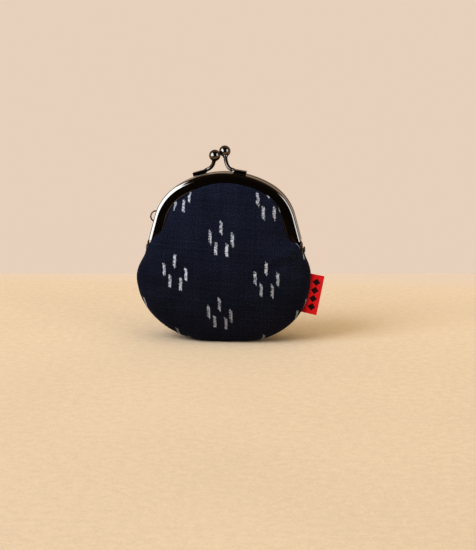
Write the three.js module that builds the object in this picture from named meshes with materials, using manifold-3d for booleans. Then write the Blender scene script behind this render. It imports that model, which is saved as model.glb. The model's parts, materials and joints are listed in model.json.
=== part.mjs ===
// A round coin purse with a kiss-lock frame: two hinged metal bows hold a lined cloth pouch.
// Millimetres, +Z up. X runs from hinge to hinge, -Y is the front.
// The origin is the middle of the flat spot that the pouch stands on.
import * as THREE from "three";
import { mergeVertices } from "three/addons/utils/BufferGeometryUtils.js";
import Module from "manifold-3d";

const { degToRad, lerp, smoothstep } = THREE.MathUtils;
const wasm = await Module();
wasm.setup();

// General clearance between pieces that meet
const CLEARANCE = 0.3;

// Hinge: the rivet axis, and the ears that turn on it
const HINGE_HEIGHT = 47;
const EAR_RADIUS = 2.6;
const EAR_THICKNESS = 0.7;
const EAR_LAP = 1.2; // how far an ear runs up the leg that it is formed from
const EAR_NOTCH = 1.6; // how far below the leg's end an ear starts to cross the parting plane
const RIVET_RADIUS = 0.9;
const RIVET_HEAD_RADIUS = 1.75;
const RIVET_HEAD_HEIGHT = 0.9;
const RIVET_TAIL_RADIUS = 1.5;
const RIVET_TAIL_HEIGHT = 0.5;

// Bow: the outer line of each frame half, seen from the front, measured from the rivet axis
const BOW_RISE = 39;
const BOW_TOP_RADIUS = 46;
const BOW_TOP_ANGLE = degToRad(31);
const BOW_CORNER_RADIUS = 26;
const BOW_LEG_ANGLE = degToRad(75);
const BOW_END_RISE = 5;

// Channel: the pressed section that each bow is bent from
const HALF_DEPTH = 5.8;
const PARTING_GAP = 0.4;
const WALL = 0.6;
const FACE_HEIGHT = 5.8;
const INNER_FLANGE_HEIGHT = 5;
const SHOULDER_RADIUS = 1.8;
const PARTING_EDGE_RADIUS = 0.7;

// Kiss-lock: a bent arm with a ball on each half, crossed when the purse is shut
const CLASP_X = -2.7;
const FOOT_REACH = 10;
const FOOT_LENGTH = 7.4;
const FOOT_WIDTH = 4.2;
const FOOT_THICKNESS = 1.6;
const ARM_RADIUS = 0.95;
const ARM_LIFT = 0.35; // the arm's centre line above the foot's
const BALL_RADIUS = 2.8;
const BALL_LIFT = 9.45; // midway between the balls, above the top of the bow
const BALL_TURN = degToRad(36); // the line through both balls, seen from above, off the hinge line
const BALL_TILT = degToRad(17.4); // and its slope
const BALL_SEAT_DEPTH = 1.9;

// Strap loop: a wire half ring on the left leg of the back half
const LOOP_ALONG = 13; // from the end of the bow, along its outer line
const LOOP_HALF_SPAN = 2.3;
const LOOP_REACH = 2;
const LOOP_WIRE_RADIUS = 0.4;

// Pouch: seam outline, bulge and cloth thicknesses. The tag stiffens the right side, which stands
// a little narrower and fuller than the left: a power of 2 would make the lower half an ellipse.
// An overhang is how far the widest point stands out past the end of the frame's leg.
const POUCH_LEFT = { overhang: 6.2, power: 1.9 };
const POUCH_RIGHT = { overhang: 4.8, power: 2.15 };
const POUCH_WIDEST_DROP = 13.5; // from the rivet axis down to the widest height
const POUCH_SETTLE = 3; // how much of the bottom is flattened by standing
const POUCH_UPPER_REACH = 26.2; // half height of the ellipse above the widest height
const POUCH_HALF_DEPTH = 16.5;
const SEAM_DROP = 4.5; // from the rivet axis down to the top of the side seam
const SEAM_EASE = 1.5; // half of the height over which the side leaves the neck
const SEAM_HALF_GAP = 0.4;
const SEAM_ROLL = 0.7; // the last strip of cloth, where it turns into the seam
const NECK_INSET = 2.2; // the free edge of the cloth, inside the leg's end
const SEAM_PROFILE = { power: 2.4, root: 2 }; // bulge towards the bottom and the sides
const CHANNEL_PROFILE = { power: 1.6, root: 1.1 }; // bulge towards the top, which is pulled flatter
const PINCH_POWER = 6; // the higher, the closer to the edge the pinch of the neck stays
const OUTER_THICKNESS = 1;
const LINING_THICKNESS = 0.6;
const LINING_GAP = 0.4;
const CLOTH_END_GAP = 0.5;

// Paper cord that is packed into each channel behind the cloth
const CORD_RADIUS = 0.8;
const CORD_DEPTH = 3.2;
const CORD_END_GAP = 1;

// Folded ribbon tag in the right side seam
const TAG_DROP = 9.7; // from the widest height down to the middle of the tag
const TAG_REACH = 7.2;
const TAG_LENGTH = 20.4;
const TAG_THICKNESS = 0.3;
const TAG_TAIL = 1.8;

// Facets
const BOW_STEPS = 36;
const CORD_STEPS = 26;
const ARM_STEPS = 12;
const LOOP_STEPS = 12;
const ARC_STEPS = 4;
const ROUND_SIDES = 20;
const WIRE_SIDES = 10;
const BELLY_STEPS = 8;
const SIDE_STEPS = 8;
const ARCH_STEPS = 12;
const BULGE_ROWS = [0, 0.3, 0.55, 0.75, 0.88, 0.96, 1];

// Worked out from the sizes above
const partingFace = PARTING_GAP / 2;
const outerFace = partingFace + HALF_DEPTH;
const halfMiddle = (partingFace + outerFace) / 2;
const topCentreHeight = HINGE_HEIGHT + BOW_RISE - BOW_TOP_RADIUS;
const cornerOffset = BOW_TOP_RADIUS - BOW_CORNER_RADIUS;
const cornerCentreX = cornerOffset * Math.sin(BOW_TOP_ANGLE);
const cornerCentreHeight = topCentreHeight + cornerOffset * Math.cos(BOW_TOP_ANGLE);
const legEndHeight = HINGE_HEIGHT + BOW_END_RISE;
const legTopHeight = cornerCentreHeight + BOW_CORNER_RADIUS * Math.cos(BOW_LEG_ANGLE);
const legLength = (legTopHeight - legEndHeight) / Math.sin(BOW_LEG_ANGLE);
const legEndX =
  cornerCentreX + BOW_CORNER_RADIUS * Math.sin(BOW_LEG_ANGLE) + legLength * Math.cos(BOW_LEG_ANGLE);
const clothFace = outerFace - WALL - CLEARANCE; // the cloth's outer face inside the channel
const liningStart = OUTER_THICKNESS + LINING_GAP;
const clothInset = SHOULDER_RADIUS; // the cloth's edge stops where the channel starts to curve
const collarHeight = FACE_HEIGHT + CLEARANCE - clothInset; // the strip of cloth inside the channel
const seamTopHeight = HINGE_HEIGHT - SEAM_DROP;
const neckX = legEndX - NECK_INSET;
const widestHeight = HINGE_HEIGHT - POUCH_WIDEST_DROP;
const pouchDrop = widestHeight + POUCH_SETTLE; // to the bottom seam, before it is flattened
const ballSpacing = 2 * BALL_RADIUS + CLEARANCE;
const ballOffset = new THREE.Vector3(Math.cos(BALL_TURN), Math.sin(BALL_TURN), Math.tan(BALL_TILT));
ballOffset.setLength(ballSpacing / 2); // from the middle of the lock to the front half's ball

// Materials
const metal = new THREE.MeshStandardMaterial({ color: 0x4a433d, roughness: 0.18, metalness: 1 });
const indigo = new THREE.MeshStandardMaterial({ color: 0x171a29, roughness: 0.9, metalness: 0 });
const cotton = new THREE.MeshStandardMaterial({ color: 0xb9ab92, roughness: 0.95, metalness: 0 });
const paper = new THREE.MeshStandardMaterial({ color: 0xa98b62, roughness: 0.95, metalness: 0 });
const ribbon = new THREE.MeshStandardMaterial({ color: 0xc0181c, roughness: 0.7, metalness: 0 });

// A bow's outer line moved inwards by inset and shortened by trim at each end:
// left leg, corner arc, top arc, corner arc and right leg, at an even speed.
class BowCurve extends THREE.Curve {
  constructor(inset = 0, trim = 0) {
    super();
    this.topRadius = BOW_TOP_RADIUS - inset;
    this.cornerRadius = BOW_CORNER_RADIUS - inset;
    this.topLength = this.topRadius * BOW_TOP_ANGLE;
    this.cornerLength = this.cornerRadius * (BOW_LEG_ANGLE - BOW_TOP_ANGLE);
    this.halfLength = this.topLength + this.cornerLength + legLength - trim;
  }

  getPoint(t, target = new THREE.Vector3()) {
    const signed = (2 * t - 1) * this.halfLength;
    const side = Math.sign(signed);
    const along = Math.abs(signed);
    if (along < this.topLength) {
      const angle = along / this.topRadius;
      const height = topCentreHeight + this.topRadius * Math.cos(angle);
      return target.set(side * this.topRadius * Math.sin(angle), 0, height);
    }
    const past = along - this.topLength;
    const angle = BOW_TOP_ANGLE + Math.min(past, this.cornerLength) / this.cornerRadius;
    const down = Math.max(past - this.cornerLength, 0);
    const x = cornerCentreX + this.cornerRadius * Math.sin(angle) + down * Math.cos(BOW_LEG_ANGLE);
    const z = cornerCentreHeight + this.cornerRadius * Math.cos(angle) - down * Math.sin(BOW_LEG_ANGLE);
    return target.set(side * x, 0, z);
  }
}

// Half of a wire ring, standing on the point base: along and out are its two unit directions.
class LoopCurve extends THREE.Curve {
  constructor(base, along, out) {
    super();
    Object.assign(this, { base, along, out });
  }

  getPoint(t, target = new THREE.Vector3()) {
    return target
      .copy(this.base)
      .addScaledVector(this.along, -LOOP_HALF_SPAN * Math.cos(Math.PI * t))
      .addScaledVector(this.out, LOOP_REACH * Math.sin(Math.PI * t));
  }
}

// A geometry with shared corners merged, collapsed faces dropped and only its positions kept.
function closedGeometry(source) {
  const bare = new THREE.BufferGeometry().setAttribute("position", source.getAttribute("position"));
  bare.setIndex(source.index);
  const merged = mergeVertices(bare, 1e-4);
  const kept = [];
  const index = merged.index.array;
  for (let i = 0; i < index.length; i += 3) {
    const [a, b, c] = [index[i], index[i + 1], index[i + 2]];
    if (a !== b && b !== c && a !== c) kept.push(a, b, c);
  }
  merged.setIndex(kept);
  return merged;
}

// A closed geometry as a solid that can be joined and cut.
function solidOf(geometry) {
  const closed = closedGeometry(geometry);
  return new wasm.Manifold(
    new wasm.Mesh({
      numProp: 3,
      vertProperties: new Float32Array(closed.getAttribute("position").array),
      triVerts: new Uint32Array(closed.index.array),
    }),
  );
}

// A solid as a geometry again.
function geometryOf(solid) {
  const mesh = solid.getMesh();
  return new THREE.BufferGeometry()
    .setAttribute("position", new THREE.BufferAttribute(mesh.vertProperties, 3))
    .setIndex(new THREE.BufferAttribute(mesh.triVerts, 1));
}

function namedMesh(name, geometry, material) {
  const mesh = new THREE.Mesh(geometry, material);
  mesh.name = name;
  return mesh;
}

// A shape's points with each arc cut into an even number of steps and repeated points dropped.
// side is -1 for the mirror image across the shape's own Y.
function outlinePoints(shape, arcSteps, side = 1) {
  const points = shape.getPoints(arcSteps / 2);
  const apart = points.filter((p, i) => p.distanceTo(points.at(i - 1)) > 1e-3);
  return apart.map((p) => new THREE.Vector2(side * p.x, p.y));
}

function circlePoints(radius, sides) {
  return outlinePoints(new THREE.Path().absarc(0, 0, radius, 0, 2 * Math.PI, false), sides);
}

// A round wire along a curve.
function wireGeometry(curve, radius, steps) {
  const disc = new THREE.Shape(circlePoints(radius, WIRE_SIDES));
  return new THREE.ExtrudeGeometry(disc, { steps, extrudePath: curve });
}

// Channel section: x runs out of the parting plane to the half's own face, y inwards from the outer line.
function channelShape(side) {
  const faceCorner = outerFace - SHOULDER_RADIUS;
  const backCorner = partingFace + PARTING_EDGE_RADIUS;
  const shape = new THREE.Shape();
  shape.moveTo(partingFace, INNER_FLANGE_HEIGHT);
  shape.lineTo(partingFace, PARTING_EDGE_RADIUS);
  shape.absarc(backCorner, PARTING_EDGE_RADIUS, PARTING_EDGE_RADIUS, Math.PI, 1.5 * Math.PI, false);
  shape.lineTo(faceCorner, 0);
  shape.absarc(faceCorner, SHOULDER_RADIUS, SHOULDER_RADIUS, 1.5 * Math.PI, 2 * Math.PI, false);
  shape.lineTo(outerFace, FACE_HEIGHT);
  shape.lineTo(outerFace - WALL, FACE_HEIGHT);
  shape.absarc(faceCorner, SHOULDER_RADIUS, SHOULDER_RADIUS - WALL, 2 * Math.PI, 1.5 * Math.PI, true);
  shape.lineTo(partingFace + WALL, WALL);
  shape.lineTo(partingFace + WALL, INNER_FLANGE_HEIGHT);
  return new THREE.Shape(outlinePoints(shape, ARC_STEPS, side));
}

// Turns a flat shape drawn in Y and Z into a plate that starts at x and is thick along X.
function plateAcrossX(shape, x, thickness) {
  const settings = { depth: thickness, bevelEnabled: false };
  const plate = new THREE.ExtrudeGeometry(shape, settings);
  const [alongX, alongY, alongZ] = [0, 1, 2].map((i) => new THREE.Vector3().setComponent(i, 1));
  const turn = new THREE.Matrix4().makeBasis(alongY, alongZ, alongX);
  return plate.applyMatrix4(turn).translate(x, 0, HINGE_HEIGHT);
}

// Ear of one half: it narrows from the width of the leg to a round end with the rivet's hole.
function earShape(front) {
  const top = BOW_END_RISE + EAR_LAP;
  const near = partingFace + CLEARANCE;
  const far = outerFace - SHOULDER_RADIUS;
  const shape = new THREE.Shape();
  shape.moveTo(-far, top);
  shape.lineTo(-EAR_RADIUS, 0);
  shape.absarc(0, 0, EAR_RADIUS, Math.PI, 2 * Math.PI, false);
  shape.lineTo(-near, BOW_END_RISE - EAR_NOTCH);
  shape.lineTo(-near, top);
  const ear = new THREE.Shape(outlinePoints(shape, ROUND_SIDES / 2, front));
  ear.holes.push(new THREE.Path(circlePoints(RIVET_RADIUS + CLEARANCE, ROUND_SIDES)));
  return ear;
}

// Where the two ears of a hinge stand along X: the front ear is set out past the leg,
// the back ear runs straight down from it.
const backEarX = legEndX - EAR_THICKNESS;
const frontEarX = legEndX + CLEARANCE;

// One half of the frame. front is 1 for the front half and -1 for the back half.
function bowGeometry(front) {
  const settings = { steps: BOW_STEPS, extrudePath: new BowCurve() };
  let bow = solidOf(new THREE.ExtrudeGeometry(channelShape(front), settings));
  const earX = front > 0 ? frontEarX : backEarX;
  for (const side of [1, -1]) {
    const start = side > 0 ? earX : -earX - EAR_THICKNESS;
    bow = bow.add(solidOf(plateAcrossX(earShape(front), start, EAR_THICKNESS)));
    if (front > 0) bow = bow.add(solidOf(earStepGeometry(side)));
  }
  return geometryOf(bow);
}

// The step that carries a front ear out from the end of its leg.
function earStepGeometry(side) {
  const inner = legEndX - WALL;
  const outer = frontEarX + EAR_THICKNESS;
  const near = partingFace + CLEARANCE;
  const far = outerFace - SHOULDER_RADIUS;
  const step = new THREE.BoxGeometry(outer - inner, far - near, EAR_LAP);
  const height = legEndHeight + EAR_LAP / 2;
  return step.translate((side * (inner + outer)) / 2, -(near + far) / 2, height);
}

// Rivet through both ears of one hinge: a domed head outside and a flattened tail inside.
function rivetGeometry() {
  const tailFace = backEarX - CLEARANCE;
  const headFace = frontEarX + EAR_THICKNESS + CLEARANCE;
  const dome = new THREE.QuadraticBezierCurve(
    new THREE.Vector2(RIVET_HEAD_RADIUS, headFace),
    new THREE.Vector2(RIVET_HEAD_RADIUS, headFace + RIVET_HEAD_HEIGHT),
    new THREE.Vector2(0, headFace + RIVET_HEAD_HEIGHT),
  );
  const profile = [
    new THREE.Vector2(0, tailFace - RIVET_TAIL_HEIGHT),
    new THREE.Vector2(RIVET_TAIL_RADIUS, tailFace - RIVET_TAIL_HEIGHT),
    new THREE.Vector2(RIVET_TAIL_RADIUS, tailFace),
    new THREE.Vector2(RIVET_RADIUS, tailFace),
    new THREE.Vector2(RIVET_RADIUS, headFace),
    ...dome.getPoints(ARC_STEPS),
  ];
  return closedGeometry(new THREE.LatheGeometry(profile, ROUND_SIDES));
}

// One side of the kiss-lock, drawn with its foot on the right and turned round for the back half.
function claspGroup(half, turn) {
  const group = new THREE.Group();
  group.position.set(CLASP_X, 0, HINGE_HEIGHT);
  group.rotation.z = turn;

  // The foot lies along the bow's top, which falls away outwards by this slope
  const heading = Math.cos(turn);
  const seatX = CLASP_X + heading * FOOT_REACH;
  const slope = Math.asin((heading * seatX) / BOW_TOP_RADIUS);
  const seatRise = BOW_RISE - BOW_TOP_RADIUS + Math.sqrt(BOW_TOP_RADIUS ** 2 - seatX ** 2);
  const up = new THREE.Vector3(Math.sin(slope), 0, Math.cos(slope));
  const inwards = new THREE.Vector3(-Math.cos(slope), 0, Math.sin(slope));
  const foot = new THREE.Vector3(FOOT_REACH, -halfMiddle, seatRise);
  foot.addScaledVector(up, CLEARANCE + FOOT_THICKNESS / 2);

  // The arm leaves the foot along the bow, then bends up and across to the ball
  const ball = new THREE.Vector3(ballOffset.x, ballOffset.y, BOW_RISE + BALL_LIFT + heading * ballOffset.z);
  const start = foot.clone().addScaledVector(inwards, FOOT_LENGTH / 2 - ARM_RADIUS);
  start.addScaledVector(up, ARM_LIFT);
  const bend = start.clone().addScaledVector(inwards, (start.x - ball.x) * 0.72);
  const rise = ball.z - start.z;
  const neck = new THREE.Vector3(lerp(ball.x, bend.x, 0.55), lerp(ball.y, start.y, 0.45), ball.z - rise / 2);
  const aim = ball.clone().sub(neck).normalize();
  const tip = ball.clone().addScaledVector(aim, BALL_SEAT_DEPTH - CLEARANCE - BALL_RADIUS);
  const line = new THREE.CubicBezierCurve3(start, bend, neck, tip);

  const footGeometry = new THREE.BoxGeometry(FOOT_LENGTH, FOOT_WIDTH, FOOT_THICKNESS);
  footGeometry.rotateY(slope).translate(foot.x, foot.y, foot.z);
  const arm = solidOf(footGeometry).add(solidOf(wireGeometry(line, ARM_RADIUS, ARM_STEPS)));
  group.add(namedMesh(`${half}_clasp_arm`, geometryOf(arm), metal));

  // The ball has a blind hole for the arm's tip
  const holeRadius = ARM_RADIUS + CLEARANCE;
  const hole = new THREE.CylinderGeometry(holeRadius, holeRadius, BALL_RADIUS, ROUND_SIDES);
  hole.translate(0, BALL_SEAT_DEPTH - 1.5 * BALL_RADIUS, 0);
  const sphere = new THREE.SphereGeometry(BALL_RADIUS, ROUND_SIDES, ROUND_SIDES / 2);
  const bored = solidOf(sphere).subtract(solidOf(hole));
  const ballMesh = namedMesh(`${half}_clasp_ball`, geometryOf(bored), metal);
  ballMesh.position.copy(ball);
  ballMesh.quaternion.setFromUnitVectors(new THREE.Vector3(0, 1, 0), aim);
  group.add(ballMesh);
  return group;
}

// Wire half ring, soldered to the outside of the back half's left leg.
function strapLoopGeometry() {
  const bow = new BowCurve();
  const share = LOOP_ALONG / bow.getLength();
  const along = bow.getTangentAt(share);
  const out = new THREE.Vector3(-along.z, 0, along.x);
  const base = bow.getPointAt(share).addScaledVector(out, CLEARANCE);
  base.y = halfMiddle;
  return wireGeometry(new LoopCurve(base, along, out), LOOP_WIRE_RADIUS, LOOP_STEPS);
}

// Seam outline of one side below its widest height: the angle runs from -90 degrees, the bottom, to 0.
function bellyPoint(shape, angle, depth) {
  const power = 2 / shape.power;
  const x = (legEndX + shape.overhang - depth) * Math.cos(angle) ** power;
  const z = widestHeight - (pouchDrop - depth) * (-Math.sin(angle)) ** power;
  return { x, z, full: x, hold: 0 };
}

// Side of the pouch from its widest height up to the leg's end: first the seam,
// then the free edge inside the hinge. full is where the side would be without the pinch of the neck.
function sidePoint(shape, z, depth) {
  const hold = smoothstep(z, seamTopHeight, legEndHeight - CLOTH_END_GAP);
  const pinch = smoothstep(z + depth, seamTopHeight - SEAM_EASE, seamTopHeight + SEAM_EASE);
  const share = (z - widestHeight) / POUCH_UPPER_REACH;
  const belly = (legEndX + shape.overhang - depth) * Math.sqrt(1 - share ** 2);
  const x = lerp(belly, neckX - depth * (1 - hold), pinch);
  const rise = (z - widestHeight) / (legEndHeight - widestHeight);
  return { x, z, full: lerp(legEndX + shape.overhang - depth, legEndX, rise ** 1.5), hold };
}

// The edge of one skin on one side, counted from the bottom up to the middle of the bow.
// depth is how far the skin lies inside the outer face, and hold is 1 where the channel grips the cloth.
function sideOutline(shape, depth) {
  const points = [];
  for (let i = 0; i < BELLY_STEPS; i++) {
    points.push(bellyPoint(shape, (Math.PI / 2) * (i / BELLY_STEPS - 1), depth));
  }
  for (let i = 0; i < SIDE_STEPS; i++) {
    points.push(sidePoint(shape, lerp(widestHeight, legEndHeight, i / SIDE_STEPS), depth));
  }
  const arch = new BowCurve(clothInset, CLOTH_END_GAP);
  for (let i = 0; i <= ARCH_STEPS; i++) {
    const { x, z } = arch.getPoint(1 - i / ARCH_STEPS / 2);
    points.push({ x, z, full: x, hold: 1 });
  }
  return points;
}

// The edge of one skin all the way round: up the right side and down the left side.
function pouchOutline(depth) {
  const left = sideOutline(POUCH_LEFT, depth).slice(1, -1);
  const mirrored = left.map((point) => ({ ...point, x: -point.x, full: -point.full }));
  return [...sideOutline(POUCH_RIGHT, depth), ...mirrored.reverse()];
}

// A point of one skin of the front panel: row 0 is its middle and the last row its edge.
function skinPoint(outline, column, row, depth, target) {
  const { x, z, full, hold } = outline[column % outline.length];
  const height = z - widestHeight;
  const length = Math.hypot(x, height);
  const bulgeEnd = 1 - lerp(SEAM_ROLL, collarHeight, hold) / length;
  const share = row < BULGE_ROWS.length ? BULGE_ROWS[row] * bulgeEnd : 1;
  const upwards = smoothstep(height / length, -0.3, 0.9);
  const power = lerp(SEAM_PROFILE.power, CHANNEL_PROFILE.power, upwards);
  const root = lerp(SEAM_PROFILE.root, CHANNEL_PROFILE.root, upwards);
  const across = Math.min(share / lerp(1, bulgeEnd, hold), 1);
  const bulge = (1 - across ** power) ** (1 / root);
  const edge = lerp(SEAM_HALF_GAP, clothFace - depth, hold);
  const y = -lerp(edge, POUCH_HALF_DEPTH - depth, bulge);
  const reach = lerp(full, x, share ** PINCH_POWER);
  return target.set(share * reach, y, Math.max(widestHeight + share * height, depth));
}

// One cloth panel: its outer skin from the middle to the edge, and its inner skin back to the middle.
// The quads of the left side are cut along the mirror image of the right side's diagonals.
function panelGeometry(front, outerDepth, innerDepth) {
  const positions = [];
  const faces = [];
  const point = new THREE.Vector3();
  const lastRow = BULGE_ROWS.length;
  const rows = 2 * (lastRow + 1);
  const columns = pouchOutline(outerDepth).length;
  for (let row = 0; row < rows; row++) {
    const depth = row <= lastRow ? outerDepth : innerDepth;
    const outline = pouchOutline(depth);
    for (let column = 0; column <= columns; column++) {
      skinPoint(outline, column, Math.min(row, rows - 1 - row), depth, point);
      positions.push(point.x, front * point.y, point.z);
    }
  }
  for (let row = 0; row < rows - 1; row++) {
    for (let column = 0; column < columns; column++) {
      const near = row * (columns + 1) + column;
      const far = near + columns + 1;
      const pair =
        column < columns / 2
          ? [[near, near + 1, far], [near + 1, far + 1, far]]
          : [[near, near + 1, far + 1], [near, far + 1, far]];
      faces.push(...pair.flatMap(([a, b, c]) => (front > 0 ? [a, c, b] : [a, b, c])));
    }
  }
  const surface = new THREE.BufferGeometry();
  surface.setAttribute("position", new THREE.Float32BufferAttribute(positions, 3));
  return closedGeometry(surface.setIndex(faces));
}

// Paper cord in one channel, behind the lining.
function paperCordGeometry(front) {
  const line = wireGeometry(new BowCurve(CORD_DEPTH, CORD_END_GAP), CORD_RADIUS, CORD_STEPS);
  return line.translate(0, -front * (partingFace + WALL + CLEARANCE + CORD_RADIUS), 0);
}

// Folded ribbon, caught in the right side seam and square to it.
function sideTagMesh() {
  const fall = TAG_DROP / pouchDrop;
  const angle = -Math.asin(fall ** (POUCH_RIGHT.power / 2));
  const seam = bellyPoint(POUCH_RIGHT, angle, 0);
  const ahead = bellyPoint(POUCH_RIGHT, angle * 0.98, 0);
  const lean = Math.atan2(ahead.x - seam.x, ahead.z - seam.z);
  const width = TAG_REACH + TAG_TAIL;
  const tag = namedMesh("side_tag", new THREE.BoxGeometry(width, TAG_THICKNESS, TAG_LENGTH), ribbon);
  const out = TAG_REACH - width / 2;
  tag.position.set(seam.x + out * Math.cos(lean), 0, seam.z - out * Math.sin(lean));
  tag.rotation.y = lean;
  return tag;
}

// Pouch: outer cloth, lining and tag
const pouch = new THREE.Group();
for (const [half, front] of [["front", 1], ["back", -1]]) {
  const outer = panelGeometry(front, 0, OUTER_THICKNESS);
  const lining = panelGeometry(front, liningStart, liningStart + LINING_THICKNESS);
  pouch.add(namedMesh(`outer_${half}`, outer, indigo));
  pouch.add(namedMesh(`lining_${half}`, lining, cotton));
}
pouch.add(sideTagMesh());

// Frame: two halves with their cords and kiss-lock arms
const frontFrame = new THREE.Group();
frontFrame.add(namedMesh("front_bow", bowGeometry(1), metal));
frontFrame.add(namedMesh("front_paper_cord", paperCordGeometry(1), paper));
frontFrame.add(claspGroup("front", 0));

const backFrame = new THREE.Group();
backFrame.add(namedMesh("back_bow", bowGeometry(-1), metal));
backFrame.add(namedMesh("back_paper_cord", paperCordGeometry(-1), paper));
backFrame.add(claspGroup("back", Math.PI));
backFrame.add(namedMesh("strap_loop", strapLoopGeometry(), metal));
for (const [side, turn] of [["right", -1], ["left", 1]]) {
  const rivet = namedMesh(`hinge_rivet_${side}`, rivetGeometry(), metal);
  rivet.position.z = HINGE_HEIGHT;
  rivet.rotation.z = (turn * Math.PI) / 2;
  backFrame.add(rivet);
}

const purse = new THREE.Group();
purse.add(pouch, frontFrame, backFrame);

export default purse;
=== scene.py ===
"""Round coin purse with a kiss-lock frame: its visible pieces, drawn around the CAD frame."""

import json
from types import SimpleNamespace

import bpy
import numpy as np
from bpy.props import FloatProperty, FloatVectorProperty, PointerProperty
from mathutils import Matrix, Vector


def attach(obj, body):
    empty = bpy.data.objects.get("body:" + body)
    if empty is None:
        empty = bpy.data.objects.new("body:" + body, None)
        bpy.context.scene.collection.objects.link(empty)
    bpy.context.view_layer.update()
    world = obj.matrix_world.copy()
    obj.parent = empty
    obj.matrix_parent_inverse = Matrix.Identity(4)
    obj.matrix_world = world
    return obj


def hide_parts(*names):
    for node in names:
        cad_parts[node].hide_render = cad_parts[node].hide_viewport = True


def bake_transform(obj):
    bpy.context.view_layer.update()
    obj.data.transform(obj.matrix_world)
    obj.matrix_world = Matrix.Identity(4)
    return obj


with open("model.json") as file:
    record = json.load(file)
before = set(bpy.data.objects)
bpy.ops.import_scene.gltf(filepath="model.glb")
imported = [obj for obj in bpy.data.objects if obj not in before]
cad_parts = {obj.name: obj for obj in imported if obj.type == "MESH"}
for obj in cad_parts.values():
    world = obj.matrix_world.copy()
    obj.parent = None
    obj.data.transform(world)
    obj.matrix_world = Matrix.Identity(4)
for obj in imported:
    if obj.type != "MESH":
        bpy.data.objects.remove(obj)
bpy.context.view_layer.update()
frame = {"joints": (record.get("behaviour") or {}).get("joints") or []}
HINGE = frame["joints"][0]["pos_m"][2]

bl_info = {
    "name": "Kiss-lock coin purse",
    "version": (1, 0, 0),
    "blender": (4, 5, 0),
    "location": "View3D > Sidebar > Purse",
    "description": "Builds a round cloth coin purse on a hinged metal frame",
    "category": "Object",
}

MM = 0.001  # shapes are worked out in millimetres and stored in metres
HALVES = (("front", 1), ("back", -1))  # each half's name, and 1 for the side that faces -Y


def lengths(**sizes):
    """Sizes in metres that a user may change, each given by its meaning and its value."""
    return {
        key: FloatProperty(
            name=label(key), description=text, default=value, unit="LENGTH", precision=5
        )
        for key, (text, value) in sizes.items()
    }


def tints(**shades):
    """Linear colours that a user may change, each given by its meaning and its value."""
    return {
        key: FloatVectorProperty(
            name=label(key), description=text, default=value, subtype="COLOR", min=0, max=1
        )
        for key, (text, value) in shades.items()
    }


def label(key):
    """A property's name as words."""
    return key.replace("_", " ").capitalize()


class PurseFrameSizes(bpy.types.PropertyGroup):
    """Sizes of the metal frame and its kiss-lock."""

    __annotations__ = lengths(
        hinge_height=("Rivet axis above the table", HINGE),
        bow_rise=("Top of the bow above the rivet axis", 0.039),
        top_radius=("Radius of the bow's top arc", 0.046),
        corner_radius=("Radius of the bow's corner arcs", 0.026),
        end_rise=("End of a leg above the rivet axis", 0.005),
        half_depth=("Depth of one half from front to back", 0.0058),
        parting_gap=("Gap between the shut halves", 0.0004),
        face_height=("Height of the flange that shows", 0.0058),
        wall=("Thickness of the pressed metal", 0.0006),
        shoulder=("Height of the rounding above the face", 0.0024),
        shoulder_depth=("Depth of the rounding above the face", 0.00125),
        ball_radius=("Radius of a clasp ball", 0.0029),
        arm_radius=("Radius of a clasp arm", 0.00096),
        ball_lift=("Midway between the balls, above the bow", 0.00945),
        clasp_offset=("Middle of the clasp along X", -0.0027),
        loop_wire=("Radius of the strap loop's wire", 0.00038),
    )


class PurseClothSizes(bpy.types.PropertyGroup):
    """Sizes of the pouch and its tag."""

    __annotations__ = lengths(
        left_width=("Middle to the left seam", 0.0448),
        right_width=("Middle to the right seam", 0.0430),
        widest=("Height at which the pouch is widest", 0.0335),
        drop=("Widest height to the bottom seam, before it settles", 0.0348),
        depth=("Bulge of one panel from the middle plane", 0.0165),
        outer_cloth=("Thickness of the outer cloth", 0.0007),
        lining_cloth=("Thickness of the lining", 0.0004),
        tag_reach=("Tag from the seam to its fold", 0.0066),
        tag_length=("Length of the tag along the seam", 0.0204),
        tag_height=("Middle of the tag above the table", 0.0246),
        dash_length=("Length of a resist-dyed dash", 0.0062),
        dash_width=("Width of a resist-dyed dash", 0.00135),
        thread=("Spacing of the outer cloth's threads", 0.00042),
    )


class PurseColours(bpy.types.PropertyGroup):
    """Colours of the materials and of the stage."""

    __annotations__ = tints(
        indigo=("Ground of the outer cloth", (0.0079, 0.0098, 0.0208)),
        dash=("Undyed threads of the dashes", (0.555, 0.595, 0.70)),
        lining=("Plain cotton of the lining", (0.48, 0.41, 0.30)),
        metal=("Dark nickel plate", (0.150, 0.116, 0.086)),
        ribbon=("Red of the tag", (0.76, 0.013, 0.018)),
        motif=("Woven lozenges of the tag", (0.012, 0.006, 0.006)),
        paper=("Kraft paper cord", (0.40, 0.26, 0.12)),
        table=("Table top", (0.84, 0.642, 0.434)),
        far_edge=("Table top at its back edge", (0.88, 0.69, 0.525)),
        wall=("Room behind the table", (0.80, 0.635, 0.50)),
    )


def sizes_mm(group):
    """A property group's sizes in millimetres, by name."""
    return SimpleNamespace(**{k: getattr(group, k) / MM for k in group.__annotations__})


# Mesh helpers


def smooth(low, high, value):
    """0 below low and 1 above high, with the cubic 3t^2 - 2t^3 between."""
    t = np.clip((value - low) / (high - low), 0, 1)
    return t * t * (3 - 2 * t)


def eased(value, knots):
    """A line through knots of (place, height), eased between them by the same cubic."""
    steps = zip(knots, knots[1:])
    return knots[0][1] + sum((q[1] - p[1]) * smooth(p[0], q[0], value) for p, q in steps)


def mix(a, b, t):
    """a at t 0 and b at t 1."""
    return a + (b - a) * t


def arc(centre, radius, start, end, count):
    """Points of a circle's arc, angles in degrees."""
    a = np.radians(np.linspace(start, end, count))
    return np.stack([centre[0] + radius * np.cos(a), centre[1] + radius * np.sin(a)], 1)


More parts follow.
